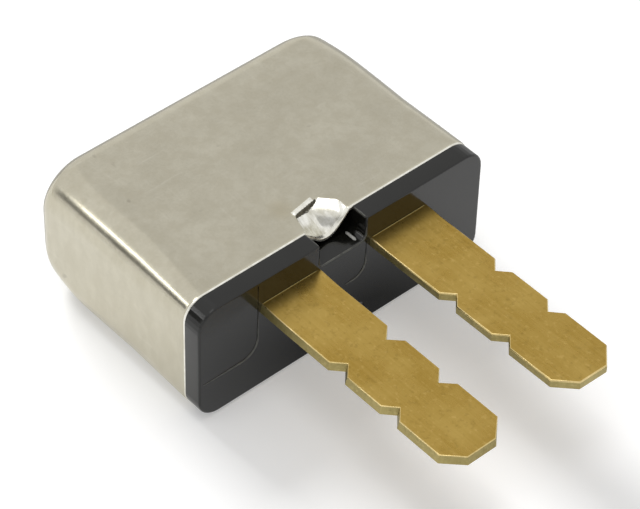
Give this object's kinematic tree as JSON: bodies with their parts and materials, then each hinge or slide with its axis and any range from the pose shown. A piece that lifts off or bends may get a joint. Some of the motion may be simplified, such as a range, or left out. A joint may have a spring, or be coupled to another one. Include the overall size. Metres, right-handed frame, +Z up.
{
  "type": "automotive circuit breaker",
  "caption": "Plug-in thermal circuit breaker: a staked metal cover over a black moulded base, with brass notched blades.",
  "frame": {"origin": "under the middle of the whole breaker as it lies on its broad side, at its lowest point", "axes": "+X across the two blades, -Y the way the blades point, +Z up, out of the broad side that the blades lie nearer to"},
  "size_m": [0.0254, 0.0364, 0.0106],
  "materials": {
    "cover_metal": "satin plated sheet steel, lightly scuffed",
    "black_moulding": "glossy black phenolic moulding",
    "terminal_brass": "matt rolled brass with bright sheared edges",
    "contact_silver": "polished silver alloy",
    "bimetal": "rolled bimetal strip",
    "rivet_steel": "plated steel rivet"
  },
  "bodies": {
    "root": {"cover": "cover_metal", "base": "black_moulding", "left_terminal": "terminal_brass", "right_terminal": "terminal_brass", "fixed_contact": "contact_silver", "moving_contact": "contact_silver", "bimetal_strip": "bimetal", "strip_rivet": "rivet_steel"}
  },
  "joints": []
}
